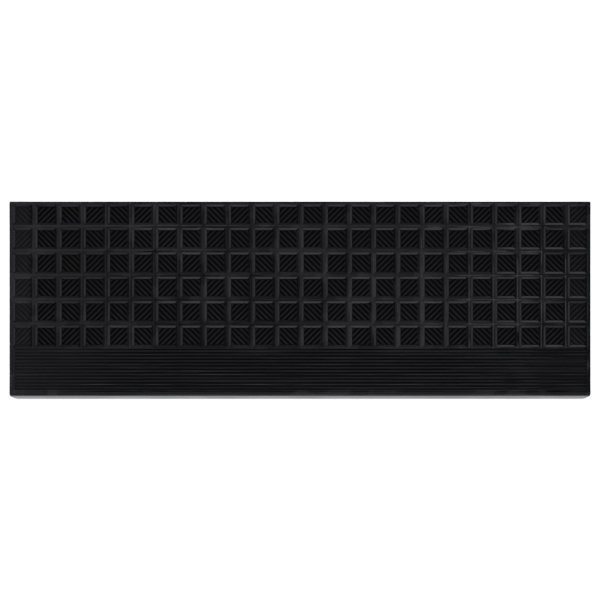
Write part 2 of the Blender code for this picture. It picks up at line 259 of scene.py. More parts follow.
class StepMatFinish(bpy.types.PropertyGroup):
    """Colours and gloss of the rubber"""

    raised_colour: bpy.props.FloatVectorProperty(
        name="Raised rubber",
        description="Colour of the bars, rims, nosing ribs and lip",
        default=(0.0038, 0.0038, 0.0044), **COLOUR,
    )
    # darker than the raised rubber: painted shade in the cells
    floor_colour: bpy.props.FloatVectorProperty(
        name="Floor rubber",
        description="Colour of the cell floors, diagonal ribs and sheet",
        default=(0.003, 0.003, 0.0033), **COLOUR,
    )
    raised_roughness: bpy.props.FloatProperty(
        name="Raised roughness",
        description="Roughness of the raised rubber",
        default=0.05, **SHARE,
    )
    # painted highlights: grey added in patches to the raised rubber
    painted_light_patches: bpy.props.FloatProperty(
        name="Bloom",
        description="Grey added in patches to the raised rubber",
        default=0.024, min=0.0, max=0.1,
    )
    rib_roughness: bpy.props.FloatProperty(
        name="Rib roughness",
        description="Roughness of the upper part of the diagonal ribs",
        default=0.3, **SHARE,
    )
    rib_specular: bpy.props.FloatProperty(
        name="Rib gloss",
        description="Strength of the reflections of the upper part of the diagonal ribs",
        default=0.47, **SHARE,
    )
    floor_roughness: bpy.props.FloatProperty(
        name="Floor roughness",
        description="Roughness of the cell floors",
        default=0.5, **SHARE,
    )
    floor_specular: bpy.props.FloatProperty(
        name="Floor gloss",
        description="Strength of the reflections of the cell floors",
        default=0.09, **SHARE,
    )


class StepMatStage(bpy.types.PropertyGroup):
    """Studio round the mat"""

    camera_height: bpy.props.FloatProperty(
        name="Camera height",
        description="Height of the camera above the walking surface",
        default=3.0, min=0.3, unit="LENGTH",
    )
    frame_width: bpy.props.FloatProperty(
        name="Frame width",
        description="Width of the view at the walking surface",
        default=0.7742, min=0.1, unit="LENGTH",
    )
    floor_colour: bpy.props.FloatVectorProperty(
        name="Stage",
        description="Colour of the floor and of the step",
        default=(0.9, 0.9, 0.9), **COLOUR,
    )


def sizes():
    return bpy.context.scene.step_mat_sizes


def finish():
    return bpy.context.scene.step_mat_finish


# -------- shapes


def s_curve(run, rise, foot_radius, top_radius, arc_steps=3):
    """(offset, height) points of a wall that leaves a floor and meets a top with rounded ends."""
    both = foot_radius + top_radius
    reach = math.hypot(run, rise - both)
    angle = math.atan2(rise - both, run) + math.asin(both / reach)
    turns = [angle * step / arc_steps for step in range(arc_steps + 1)]
    arc = [(math.sin(turn), 1 - math.cos(turn)) for turn in turns]
    foot = [(foot_radius * across, foot_radius * up) for across, up in arc]
    top = [(run - top_radius * across, rise - top_radius * up) for across, up in reversed(arc)]
    return foot + top


SHOULDER = s_curve(SHOULDER_RUN, RELIEF, SHOULDER_FOOT_RADIUS, SHOULDER_TOP_RADIUS, 4)
SHOULDER_OFFSETS = [point[0] for point in SHOULDER]
SHOULDER_HEIGHTS = [point[1] for point in SHOULDER]


def crest(offset):
    """Height above the cell floor at a distance from the foot of a bar or rim."""
    height = np.interp(offset, SHOULDER_OFFSETS, SHOULDER_HEIGHTS)
    fall = 1 - np.minimum(np.asarray(offset) / (BAR_FOOT / 2), 1)
    return height * (1 - sizes().relief_crown * fall * fall)


def edge_drop(inset):
    """How far the top has fallen at a distance inside the outline."""
    radius = sizes().edge_radius
    inner = np.clip(np.asarray(inset), 0, radius)
    return radius - np.sqrt(np.maximum(radius**2 - (radius - inner) ** 2, 0))


def outline_inset(x, y):
    """Distance inside the mat's outline at its back corners."""
    across = HALF_LENGTH - abs(x)
    along = BACK_Y - y
    if across < BACK_CORNER and along < BACK_CORNER:
        return BACK_CORNER - math.hypot(BACK_CORNER - across, BACK_CORNER - along)
    return min(across, along)


def unevenness(x, y):
    """Between 0 and 1 across the mat, slow and smooth."""
    draw = np.random.default_rng(WAVE_SEED)
    total = np.zeros_like(x)
    power = 0.0
    for _ in range(WAVE_COUNT):
        wavelength = math.exp(draw.uniform(math.log(WAVE_SHORT), math.log(WAVE_LONG)))
        heading = draw.uniform(0, math.pi)
        phase = draw.uniform(0, 2 * math.pi)
        along = (x * math.cos(heading) + y * math.sin(heading)) / wavelength
        total += wavelength * np.sin(2 * math.pi * along + phase)
        power += wavelength**2 / 2
    return 0.5 + 0.5 * np.tanh(WAVE_CONTRAST * total / math.sqrt(power))


def settle(points, low=SHEET_TOP):
    """Lowers the surface by the unevenness.

    The lattice's root and all above it sink fully, and what lies at the low level or below stays.
    """
    points = np.array(points, float)
    share = np.clip((points[:, 2] - low) / (LATTICE_BOTTOM - low), 0, 1)
    points[:, 2] -= share * sizes().wave_depth * unevenness(points[:, 0], points[:, 1])
    return points


def weld(points, faces):
    """Makes points that coincide one point, and drops the faces that this closes up."""
    rounded = np.round(np.asarray(points) * 1e7).astype(np.int64)
    _, first, index = np.unique(rounded, axis=0, return_index=True, return_inverse=True)
    index = index.reshape(-1)
    welded = []
    for face in faces:
        ring = [int(index[corner]) for corner in face]
        ring = [corner for at, corner in enumerate(ring) if corner != ring[at - 1]]
        if len(ring) > 2:
            welded.append(ring)
    return np.asarray(points)[first], welded


def add_piece(name, points, faces, material, replaced, second=None):
    """A shaded mesh object that rides on the mat's body and stands for these nodes.

    second is (material, one flag a face): the flagged faces take that material.
    """
    mesh = bpy.data.meshes.new(name)
    mesh.from_pydata([tuple(point) for point in points], [], faces)
    mesh.materials.append(material)
    if second:
        mesh.materials.append(second[0])
        mesh.polygons.foreach_set("material_index", [int(flag) for flag in second[1]])
    mesh.validate()
    mesh.polygons.foreach_set("use_smooth", [True] * len(mesh.polygons))
    mesh.set_sharp_from_angle(angle=SHARP_ANGLE)
    mesh.update()
    piece = bpy.data.objects.new(name, mesh)
    bpy.context.scene.collection.objects.link(piece)
    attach(piece, BODY)
    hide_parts(*replaced)


def loft(sections):
    """A closed body through cross sections that have the same number of points, in order."""
    count = len(sections[0])
    points = [point for section in sections for point in section]
    faces = []
    for at in range(len(sections) - 1):
        here = at * count
        there = here + count
        for step in range(count):
            after = (step + 1) % count
            faces.append((here + step, here + after, there + after, there + step))
    faces.append(tuple(reversed(range(count))))
    last = (len(sections) - 1) * count
    faces.append(tuple(range(last, last + count)))
    return points, faces


def sweep(outline, places):
    """A closed body with the same (y, z) cross section at each of these places along x."""
    return loft([[(x, y, z) for y, z in outline] for x in places])


def flipped(faces):
    return [tuple(reversed(face)) for face in faces]


def middle_height(points, face):
    return sum(points[corner][2] for corner in face) / len(face)


def merge_bodies(bodies):
    points = []
    faces = []
    for body_points, body_faces in bodies:
        start = len(points)
        points += [tuple(point) for point in body_points]
        faces += [tuple(corner + start for corner in face) for face in body_faces]
    return points, faces


def stations(low, high, step=PART_STEP):
    count = max(2, int(round((high - low) / step)) + 1)
    return np.linspace(low, high, count)


def floor_slab(half, low_y, high_y, top, step):
    """A flat body on the sheet, over this half length."""
    outline = ((low_y, SHEET_TOP), (high_y, SHEET_TOP), (high_y, top), (low_y, top))
    return sweep(outline, stations(-half, half, step))


# -------- materials


def add_node(tree, kind, **values):
    """A node with these settings, and with these numbers or links on its sockets."""
    node = tree.nodes.new(kind)
    for key, value in values.items():
        socket = node.inputs.get(key.replace("_", " "))
        if socket is None:
            setattr(node, key, value)
        elif isinstance(value, bpy.types.NodeSocket):
            tree.links.new(value, socket)
        else:
            socket.default_value = value
    return node


def map_range(tree, value, low, high, to_low=0.0, to_high=1.0, kind="LINEAR"):
    """Lays a value between low and high over another range."""
    limits = {"From_Min": low, "From_Max": high, "To_Min": to_low, "To_Max": to_high}
    node = add_node(tree, "ShaderNodeMapRange", interpolation_type=kind, Value=value, **limits)
    return node.outputs["Result"]


def math_node(tree, operation, *values):
    """A Math node on these numbers and sockets."""
    node = add_node(tree, "ShaderNodeMath", operation=operation)
    for value, socket in zip(values, node.inputs):
        if isinstance(value, float):
            socket.default_value = value
        else:
            tree.links.new(value, socket)
    return node.outputs["Value"]


def noise(tree, place, **values):
    return add_node(tree, "ShaderNodeTexNoise", Vector=place, **values).outputs["Fac"]


def pulled(tree, place, scale):
    """Object coordinates, scaled along each axis."""
    return add_node(tree, "ShaderNodeMapping", Vector=place, Scale=scale).outputs["Vector"]


def along_x(tree, place):
    return add_node(tree, "ShaderNodeSeparateXYZ", Vector=place).outputs["X"]


def cloudy_colour(tree, clouds, colour):
    """The colour, darker and lighter with the clouds."""
    tint = add_node(tree, "ShaderNodeValToRGB", Fac=clouds)
    for element, (position, factor) in zip(tint.color_ramp.elements, CLOUD_STOPS):
        element.position = position
        element.color = (*[factor * channel for channel in colour], 1)
    return tint.outputs["Color"]


def painted_patch_and_end_light(tree, place, painted_light_patches, painted_end_light, stretch, fade):
    """Grey in patches all over, and at both ends: painted light."""
    patches = noise(
        tree, pulled(tree, place, stretch), Scale=PATCH_SCALE, Detail=2.5, Roughness=0.5, Distortion=0.6
    )
    total = map_range(tree, patches, PATCH_FROM, PATCH_TO, 0.0, painted_light_patches, kind="SMOOTHSTEP")
    x = along_x(tree, place)
    for side, share in ((-1, 1.0), (1, RIGHT_END_SHARE)):
        end = map_range(tree, x, side * fade[0], side * fade[1], 0.0, painted_end_light * share, kind="SMOOTHSTEP")
        total = math_node(tree, "ADD", total, end)
    return total


def dust(tree, place):
    """1 on a few fine specks, 0 between them."""
    specks = add_node(tree, "ShaderNodeTexVoronoi", Vector=place, Scale=DUST_SCALE, Randomness=1.0)
    near = map_range(tree, specks.outputs["Distance"], DUST_RADIUS[1], DUST_RADIUS[0])
    split = add_node(tree, "ShaderNodeSeparateColor", Color=specks.outputs["Color"])
    chosen = math_node(tree, "GREATER_THAN", split.outputs["Red"], DUST_RARITY)
    return math_node(tree, "MULTIPLY", near, chosen)


def skin_normal(tree, place, grain):
    """The fine texture of the skin over a broader unevenness."""
    fine = add_node(
        tree, "ShaderNodeBump", Strength=grain, Distance=SKIN_DEPTH,
        Height=noise(tree, place, Scale=SKIN_SCALE, Detail=2.0),
    )
    broad = add_node(
        tree, "ShaderNodeBump", Strength=PULL_STRENGTH, Distance=PULL_DEPTH, Normal=fine.outputs["Normal"],
        Height=noise(tree, place, Scale=PULL_SCALE, Detail=2.0),
    )
    return broad.outputs["Normal"]


def rubber(
    name, colour, roughness, specular, haze, grain, painted_light_patches=0.0, painted_end_light=0.0, stretch=NO_PULL, fade=END_FADE
):
    """Moulded rubber: cloudy gloss, a fine skin texture and a trace of dust.

    haze is the roughness that the clouds add. The two grey amounts are painted light: the first is
    added in patches all over, which stretch pulls into streaks, and the second at the left end,
    with a share of it at the right end. fade holds the distances from the middle at which this starts and is
    full.
    """
    material = bpy.data.materials.get(name)
    if material:
        return material
    material = bpy.data.materials.new(name)
    material.use_nodes = True
    tree = material.node_tree
    link = tree.links.new
    shader = tree.nodes["Principled BSDF"]
    shader.inputs["Specular IOR Level"].default_value = specular
    place = tree.nodes.new("ShaderNodeTexCoord").outputs["Object"]

    clouds = noise(tree, place, Scale=CLOUD_SCALE, Detail=4.0, Roughness=0.55)
    streaks = noise(tree, pulled(tree, place, GLOSS_STREAKS), Scale=1.0, Detail=3.0)
    cloud_part = math_node(tree, "MULTIPLY", clouds, CLOUD_SHARE)
    both = math_node(tree, "MULTIPLY_ADD", streaks, 1 - CLOUD_SHARE, cloud_part)
    dulled = map_range(tree, both, *GLOSS_RANGE, roughness, roughness + haze)
    link(dulled, shader.inputs["Roughness"])

    clouds_and_painted_light = add_node(tree, "ShaderNodeVectorMath", operation="ADD")
    link(cloudy_colour(tree, clouds, colour), clouds_and_painted_light.inputs[0])
    link(painted_patch_and_end_light(tree, place, painted_light_patches, painted_end_light, stretch, fade), clouds_and_painted_light.inputs[1])
    dust_and_painted_light = add_node(tree, "ShaderNodeMix", data_type="RGBA")
    factor, low, high = dust_and_painted_light.inputs[0], dust_and_painted_light.inputs[6], dust_and_painted_light.inputs[7]
    high.default_value = (*DUST_COLOUR, 1)
    link(dust(tree, place), factor)
    link(clouds_and_painted_light.outputs["Vector"], low)
    link(dust_and_painted_light.outputs[2], shader.inputs["Base Color"])
    link(skin_normal(tree, place, grain), shader.inputs["Normal"])
    return material


def raised_rubber():
    look = finish()
    # painted highlights in patches, and a little painted light at the ends
    return rubber(
        "raised_rubber", look.raised_colour, look.raised_roughness, specular=0.5, haze=0.12, grain=0.25,
        painted_light_patches=look.painted_light_patches, painted_end_light=0.002,
    )


def nosing_rubber():
    # the darker colour is painted shade; the streaky patches and the greying at the ends are painted light
    return rubber(
        "nosing_rubber", NOSING_SHADED_COLOUR, finish().raised_roughness, specular=0.42, haze=0.12, grain=0.25,
        painted_light_patches=0.014, painted_end_light=0.003, stretch=STREAKS,
    )


def groove_rubber():
    # the darker colour is painted shade; the patches and the greying at the ends are painted light, which
    # lightens the grooves
    return rubber(
        "groove_rubber", NOSING_SHADED_COLOUR, roughness=0.45, specular=0.15, haze=0.16, grain=0.25,
        painted_light_patches=0.016, painted_end_light=0.036, stretch=STREAKS, fade=NOSING_FADE,
    )


def lip_rubber():
    return rubber("lip_rubber", finish().raised_colour, roughness=0.22, specular=0.2, haze=0.1, grain=0.25)


def rib_rubber():
    look = finish()
    # a trace of painted light in patches, and painted light at the ends
    return rubber(
        "rib_rubber", look.raised_colour, look.rib_roughness, look.rib_specular, haze=0.15, grain=0.4,
        painted_light_patches=0.002, painted_end_light=0.014,
    )


def painted_shade_floor_rubber():
    look = finish()
    # the darker floor colour is painted shade in the cells; the greying at the ends is painted light
    return rubber(
        "painted_shade_floor_rubber", look.floor_colour, look.floor_roughness, look.floor_specular, haze=0.15, grain=0.6,
        painted_end_light=0.03,
    )


# -------- sheet, rims, lattice


def build_sheet():
    """The sheet that lies on the step, with softened lower edges."""
    plan = [(HALF_LENGTH, BAND_BACK_Y)]
    for side, start in ((1, 0.0), (-1, math.pi / 2)):
        for step in range(5):
            turn = start + math.pi / 2 * step / 4
            x = side * (HALF_LENGTH - BACK_CORNER) + BACK_CORNER * math.cos(turn)
            plan.append((x, BACK_Y - BACK_CORNER + BACK_CORNER * math.sin(turn)))
    plan.append((-HALF_LENGTH, BAND_BACK_Y))
    levels = [(0, SHEET_TOP), (0, UNDERSIDE + SHEET_SOFTENING)]
    for step in range(1, 4):
        turn = math.pi / 2 * step / 3
        height = UNDERSIDE + SHEET_SOFTENING * (1 - math.sin(turn))
        levels.append((SHEET_SOFTENING * (1 - math.cos(turn)), height))
    sections = []
    for inset, height in levels:
        across = 1 - inset / HALF_LENGTH
        sections.append([(x * across, y - inset * (y > 0), height) for x, y in reversed(plan)])
    points, faces = loft(sections)
    add_piece("mat_sheet", points, faces, painted_shade_floor_rubber(), ["base_sheet"])


def rim_section(side, y, foot):
    """Cross section of a side rim at a place along it, with or without its inner shoulder."""
    along = BACK_Y - y
    outer = HALF_LENGTH
    if along < BACK_CORNER:
        outer -= BACK_CORNER - math.sqrt(max(BACK_CORNER**2 - (BACK_CORNER - along) ** 2, 0))
    inner = [*SHOULDER_OFFSETS, RIM_FOOT_OFFSET] if foot else [SEAM]
    section = [(side * outer, y, SHEET_TOP)]
    for inset in EDGE_INSETS:
        x = outer - inset
        height = TOP - float(edge_drop(outline_inset(x, y)))
        section.append((side * x, y, height))
    for offset in reversed([*inner, *RIM_OFFSETS]):
        x = FIELD_HALF + offset
        height = CELL_FLOOR + float(crest(offset)) - float(edge_drop(outline_inset(x, y)))
        section.append((side * x, y, height))
    section.append((section[-1][0], y, SHEET_TOP))
    return section if side > 0 else list(reversed(section))


def build_side_rim(side, node):
    back_end = [BACK_Y - inset for inset in (*EDGE_INSETS, BACK_CORNER * 2 / 3, BACK_CORNER)]
    seam_y = FIELD_FRONT_Y - SEAM
    field = list(stations(seam_y, BACK_Y - PART_STEP)) + sorted(back_end)
    nosing = stations(BAND_BACK_Y, seam_y)
    bodies = []
    for places, foot in ((nosing, True), (field, False)):
        points, faces = loft([rim_section(side, y, foot) for y in places])
        bodies.append((settle(points), flipped(faces)))
    points, faces = merge_bodies(bodies)
    add_piece("mat_" + node, points, faces, raised_rubber(), [node])


def build_back_rim():
    half = FIELD_HALF + SEAM
    outline = [(BACK_Y, SHEET_TOP)]
    outline += [(BACK_Y - inset, TOP - float(edge_drop(inset))) for inset in EDGE_INSETS]
    for offset in (*BACK_RIM_OFFSETS, SEAM):
        outline.append((FIELD_BACK_Y + offset, CELL_FLOOR + float(crest(offset))))
    outline.append((FIELD_BACK_Y + SEAM, SHEET_TOP))
    points, faces = sweep(outline, stations(-half, half))
    add_piece("mat_back_rim", settle(points), faces, raised_rubber(), ["back_rim"])


def build_front_bar():
    flat_end = NOSING_BACK_Y + FRONT_BAR_EDGE
    flat_level = CELL_FLOOR + float(crest(FIELD_FRONT_Y - flat_end))
    seam_y = FIELD_FRONT_Y - SEAM
    outline = [(seam_y, SHEET_TOP), (seam_y, CELL_FLOOR + float(crest(SEAM))), (flat_end, flat_level)]
    for step in range(1, 4):
        turn = FRONT_BAR_TURN * step / 3
        drop = FRONT_BAR_EDGE * (1 - math.cos(turn))
        outline.append((flat_end - FRONT_BAR_EDGE * math.sin(turn), flat_level - drop))
    outline.append((NOSING_BACK_Y - NOSING_OVERLAP, NOSING_FLOOR))
    outline.append((NOSING_BACK_Y - NOSING_OVERLAP, SHEET_TOP))
    points, faces = sweep(outline, stations(-FIELD_HALF, FIELD_HALF))
    add_piece("mat_front_bar", settle(points), faces, raised_rubber(), ["front_bar"])


def cell_window(row, column):
    """Foot lines of a cell: low and high x, low and high y."""
    left = -HALF_LENGTH + column * COLUMN_PITCH
    low_x = max(left + BAR_FOOT / 2, -FIELD_HALF)
    high_x = min(left + COLUMN_PITCH - BAR_FOOT / 2, FIELD_HALF)
    high_y = FIELD_BACK_Y - row * ROW_PITCH
    shift = BACK_SHOULDER_SHIFT if row == 0 else 0
    return low_x, high_x, high_y - (ROW_PITCH - BAR_FOOT), high_y - shift


def cell_box(row, column):
    """The share of the lattice that belongs to a cell, out to the middle of its bars or to the rims."""
    low_x, high_x, low_y, high_y = cell_window(row, column)
    return (
        low_x - (SEAM if column == 0 else BAR_FOOT / 2),
        high_x + (SEAM if column == COLUMNS - 1 else BAR_FOOT / 2),
        low_y - (SEAM if row == ROWS - 1 else BAR_FOOT / 2),
        high_y + (SEAM + BACK_SHOULDER_SHIFT if row == 0 else BAR_FOOT / 2),
    )


def window_ring(window, offset):
    """Points round a cell's window, anticlockwise, grown by an offset."""
    low_x, high_x, low_y, high_y = window
    radius = WINDOW_CORNER
    inset = radius - offset
    centres = (
        (low_x + inset, low_y + inset, math.pi),
        (high_x - inset, low_y + inset, 1.5 * math.pi),
        (high_x - inset, high_y - inset, 0.0),
        (low_x + inset, high_y - inset, 0.5 * math.pi),
    )
    corners = []
    for x, y, start in centres:
        turns = [start + math.pi / 2 * step / CORNER_STEPS for step in range(CORNER_STEPS + 1)]
        corners.append([(x + radius * math.cos(t), y + radius * math.sin(t)) for t in turns])
    ring = []
    for at, corner in enumerate(corners):
        ring += corner
        start = Vector(corner[-1])
        end = Vector(corners[(at + 1) % 4][0])
        ring += [tuple(start.lerp(end, share)) for share in SIDE_SHARES]
    return ring


def box_ring(window, box):
    """The same points as a ring's, laid on the sides of the cell's box."""
    crest_ring = window_ring(window, SHOULDER_RUN)
    inset = WINDOW_CORNER - SHOULDER_RUN
    low_x, high_x, low_y, high_y = box
    per_side = CORNER_STEPS + SIDE_STEPS
    half_corner = CORNER_STEPS // 2
    ring = []
    for at, (x, y) in enumerate(crest_ring):
        within = at % per_side
        quarter = at // per_side
        if within <= CORNER_STEPS:
            corner_x = low_x if quarter in (0, 3) else high_x
            corner_y = low_y if quarter in (0, 1) else high_y
            root_x = window[0] + inset if quarter in (0, 3) else window[1] - inset
            root_y = window[2] + inset if quarter in (0, 1) else window[3] - inset
            share = math.tan(math.pi / 4 * min(within, CORNER_STEPS - within) / half_corner)
            first_upright = quarter in (0, 2)
            upright = (within < half_corner) == first_upright
            if within == half_corner:
                ring.append((corner_x, corner_y))
            elif upright:
                ring.append((corner_x, root_y + (corner_y - root_y) * share))
            else:
                ring.append((root_x + (corner_x - root_x) * share, corner_y))
        else:
            ring.append(((x, low_y), (high_x, y), (x, high_y), (low_x, y))[quarter])
    return ring


def build_lattice():
    """The raised grid, with a shoulder round each cell."""
    points = []
    faces = []
    field = (-FIELD_HALF - SEAM, FIELD_HALF + SEAM, FIELD_FRONT_Y - SEAM, FIELD_BACK_Y + SEAM)

    def on_border(first, second):
        for axis, edges in ((0, field[:2]), (1, field[2:])):
            for edge in edges:
                if max(abs(first[axis] - edge), abs(second[axis] - edge)) < BORDER_TOLERANCE:
                    return True
        return False

    for row in range(ROWS):
        for column in range(COLUMNS):
            window = cell_window(row, column)
            box = cell_box(row, column)
            border = box_ring(window, box)
            foot = window_ring(window, 0)
            count = len(border)
            rings = [[(x, y, LATTICE_BOTTOM) for x, y in foot]]
            for offset in SHOULDER_OFFSETS:
                level = CELL_FLOOR + float(crest(offset))
                rings.append([(x, y, level) for x, y in window_ring(window, offset)])
            rim_ring = []
            for x, y in border:
                away_x = max(window[0] - x, x - window[1], 0)
                away_y = max(window[2] - y, y - window[3], 0)
                rim_ring.append((x, y, CELL_FLOOR + float(crest(max(away_x, away_y)))))
            rings.append(rim_ring)
            rings.append([(x, y, LATTICE_BOTTOM) for x, y in border])
            start = len(points)
            for ring in rings:
                points += ring
            top_last = len(rings) - 2
            for at in range(top_last):
                here = start + at * count
                there = here + count
                for step in range(count):
                    after = (step + 1) % count
                    faces.append((here + step, there + step, there + after, here + after))
            lower = start + (top_last + 1) * count
            upper = start + top_last * count
            for step in range(count):
                after = (step + 1) % count
                faces.append((start + step, start + after, lower + after, lower + step))
                if on_border(border[step], border[after]):
                    faces.append((upper + step, lower + step, lower + after, upper + after))
    points, faces = weld(settle(points), faces)
    add_piece("mat_lattice", points, faces, raised_rubber(), ["lattice_grid"])


# -------- cell floors


def half_profile(foot, run, rise, foot_radius, top_radius):
    """(across, height) points over a rib, from one foot to the other."""
    wall = s_curve(run, rise, foot_radius, top_radius)
    left = [(offset - foot / 2, height) for offset, height in wall]
    right = [(-across, height) for across, height in reversed(left)]
    return left + right


def chord(point, direction, low, high):
    """Where a line enters and leaves a rectangle, as distances along the direction, or None."""
    start, end = -1.0, 1.0
    for axis in range(2):
        first = (low[axis] - point[axis]) / direction[axis]
        second = (high[axis] - point[axis]) / direction[axis]
        start = max(start, min(first, second))
        end = min(end, max(first, second))
    return (start, end) if end > start else None


def diagonal_ribs(row, column):
    """Closed bodies of one cell's ribs, each cut by lines inside the bars round the cell."""
    low_x, high_x, low_y, high_y = cell_window(row, column)
    low = (low_x - RIB_REACH, low_y - RIB_REACH)
    high = (high_x + RIB_FAR_REACH, high_y + RIB_REACH)
    middle_x = -HALF_LENGTH + (column + 0.5) * COLUMN_PITCH
    middle_y = low_y + (ROW_PITCH - BAR_FOOT) / 2
    rising = (row + column) % 2 == 1
    direction = Vector((1, 1 if rising else -1)).normalized()
    across = Vector((-direction.y, direction.x))
    diagonal = math.hypot(COLUMN_PITCH - BAR_FOOT, ROW_PITCH - BAR_FOOT)
    pairs = int((diagonal / 2 - RIB_FOOT / 2) / RIB_PITCH + 0.5)
    profile = half_profile(RIB_FOOT, RIB_RUN, RIB_RISE, RIB_FOOT_RADIUS, RIB_TOP_RADIUS)
    bodies = []
    for index in range(2 * pairs):
        shift = (index - pairs + 0.5) * RIB_PITCH
        centre = Vector((middle_x, middle_y)) + across * shift
        inner = chord(centre, direction, (low_x, low_y), (high_x, high_y))
        if inner is None or inner[1] - inner[0] < RIB_SHORTEST:
            continue
        section_points = ([], [], [], [])
        for offset, height in profile:
            point = centre + across * offset
            cut = chord(point, direction, low, high)
            if cut is None:
                continue
            fall = min(RIB_END_RUN, (cut[1] - cut[0]) / 3)
            steps = (cut[0], cut[0] + fall, cut[1] - fall, cut[1])
            shares = (RIB_END_SHARE, 1, 1, RIB_END_SHARE)
            if (point + direction * cut[1]).x > high_x:
                shares = (RIB_END_SHARE, 1, 1, 1)
            for into, step, share in zip(section_points, steps, shares):
                spot = point + direction * step
                into.append((spot.x, spot.y, CELL_FLOOR + height * share))
        sections = []
        for section in section_points:
            first, last = section[0], section[-1]
            sections.append([(first[0], first[1], RIB_ROOT), *section, (last[0], last[1], RIB_ROOT)])
        points, faces = loft(sections)
        bodies.append((points, flipped(faces)))
    return bodies


def build_tread_row(row):
    """One row's floor with the diagonal ribs of its cells."""
    low_y = cell_window(row, 0)[2] - (FRONT_BAR / 2 if row == ROWS - 1 else BAR_FOOT / 2)
    high_y = cell_window(row, 0)[3] + (BACK_RIM / 2 if row == 0 else BAR_FOOT / 2)
    half = FIELD_HALF + SEAM
    bodies = [floor_slab(half, low_y, high_y, CELL_FLOOR, COLUMN_PITCH / 2)]
    for column in range(COLUMNS):
        bodies += diagonal_ribs(row, column)
    points, faces = merge_bodies(bodies)
    # faces above this level take the rib rubber, the rest the darker floor rubber: painted shade low in the
    # cells
    level = CELL_FLOOR + RIB_LIT_SHARE * RIB_RISE
    upper = [middle_height(points, face) > level for face in faces]
    name = TREAD_ROW_NAMES[row]
    second = (rib_rubber(), upper)
    add_piece("mat_" + name, settle(points), faces, painted_shade_floor_rubber(), [name], second)


# -------- nosing and lip


def build_nosing_pad():
    """Floor of the grooves between the straight ribs."""
    half = FIELD_HALF + NOSING_OVERLAP
    points, faces = floor_slab(half, BAND_BACK_Y, NOSING_BACK_Y, NOSING_FLOOR, NOSING_PAD_STEP)
    add_piece("mat_nosing_pad", settle(points), faces, groove_rubber(), ["nosing_pad"])


def build_nosing_rib(name):
    """A straight rib along the nosing, with rounded shoulders."""
    low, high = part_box(name)
    middle = (low.y + high.y) / 2
    rise = TOP - NOSING_FLOOR
    profile = half_profile(high.y - low.y, NOSING_RUN, rise, NOSING_FOOT_RADIUS, NOSING_TOP_RADIUS)
    profile.insert(len(profile) // 2, (NOSING_BACK_SLOPE_FROM, rise))
    half = FIELD_HALF + NOSING_RIB_ENDS
    index = NOSING_RIB_NAMES.index(name)
    back_slope = NOSING_BACK_SLOPES[index % 3]
    draw = np.random.default_rng(NOSING_SEED + index)
    places = stations(-half, half)
    lean = np.full_like(places, draw.uniform(-0.5, 1) * NOSING_LEAN)
    for _ in range(NOSING_WAVES):
        wavelength = draw.uniform(NOSING_WAVE_SHORT, NOSING_WAVE_LONG)
        lean += NOSING_LEAN / 2 * np.sin(2 * math.pi * (places / wavelength + draw.uniform()))
    root = NOSING_FLOOR - ROOT_DEPTH
    sections = []
    for x, slope in zip(places, lean):
        top = []
        for across, height in profile:
            sink = (abs(slope) * NOSING_RIB_HALF - slope * across) * height / rise
            sink += max(across - NOSING_BACK_SLOPE_FROM, 0) * back_slope * height / rise
            top.append((x, middle + across, NOSING_FLOOR + height - sink))
        sections.append([(x, top[0][1], root), *top, (x, top[-1][1], root)])
    points, faces = loft(sections)
    add_piece("mat_" + name, settle(points), flipped(faces), nosing_rubber(), [name])


def lip_outline():
    """Cross section of the band, bend and lip as (y, z), from the band's back edge over the outside."""
    bend_y = FRONT_Y + BEND_RADIUS * math.cos(LIP_FLARE)
    drop = TOP - BEND_RADIUS * (1 - math.sin(LIP_FLARE))
    bend_y += drop * math.tan(LIP_FLARE)
    outline = [(BAND_BACK_Y, NOSING_FLOOR - ROOT_DEPTH), (BAND_BACK_Y, NOSING_FLOOR)]
    for step in range(4):
        turn = (math.pi / 2 - BAND_EDGE_TURN) * step / 3
        y = BAND_BACK_Y - BAND_EDGE * math.sin(turn)
        outline.append((y, TOP - BAND_EDGE * (1 - math.sin(turn + BAND_EDGE_TURN))))
    band_start = outline[-1][0]
    outline += [(band_start + (bend_y - band_start) * step / 5, TOP) for step in range(1, 5)]
    centre = Vector((bend_y, TOP - BEND_RADIUS))
    for step in range(BEND_STEPS + 1):
        turn = math.pi / 2 + (math.pi / 2 - LIP_FLARE) * step / BEND_STEPS
        outline.append((centre.x + BEND_RADIUS * math.cos(turn), centre.y + BEND_RADIUS * math.sin(turn)))
    down = Vector((-math.sin(LIP_FLARE), -math.cos(LIP_FLARE)))
    inward = Vector((math.cos(LIP_FLARE), -math.sin(LIP_FLARE)))
    corner = Vector(outline[-1])
    length = (corner.y - TOE_RADIUS) / -down.y
    outline += [tuple(corner + down * length * step / 5) for step in range(1, 6)]
    toe = Vector(outline[-1])
    toe_centre = toe + inward * TOE_RADIUS
    for step in range(1, 4):
        turn = TOE_TURN * step / 3
        spot = toe_centre - inward * TOE_RADIUS * math.cos(turn) + down * TOE_RADIUS * math.sin(turn)
        outline.append((spot.x, max(spot.y, 0.0)))
    inner_toe = toe + inward * LIP_THICKNESS
    forward, lower = TOE_INNER
    outline.append((inner_toe.x - TOE_RADIUS * forward, max(inner_toe.y - TOE_RADIUS * lower, 0.0)))
    inner_face = corner + inward * LIP_THICKNESS
    inner_corner = inner_face + down * (inner_face.y - UNDERSIDE) / down.y
    face_top = inner_corner + down * INNER_FILLET
    outline += [tuple(inner_toe.lerp(face_top, step / 4)) for step in range(5)]
    fillet_centre = Vector((inner_corner.x + INNER_FILLET, UNDERSIDE - INNER_FILLET))
    for step in range(1, 4):
        turn = math.pi - math.pi / 2 * step / 4
        spot = fillet_centre + INNER_FILLET * Vector((math.cos(turn), math.sin(turn)))
        outline.append(tuple(spot))
    outline.append((inner_corner.x + INNER_FILLET, UNDERSIDE))
    outline.append((BAND_BACK_Y, UNDERSIDE))
    return outline


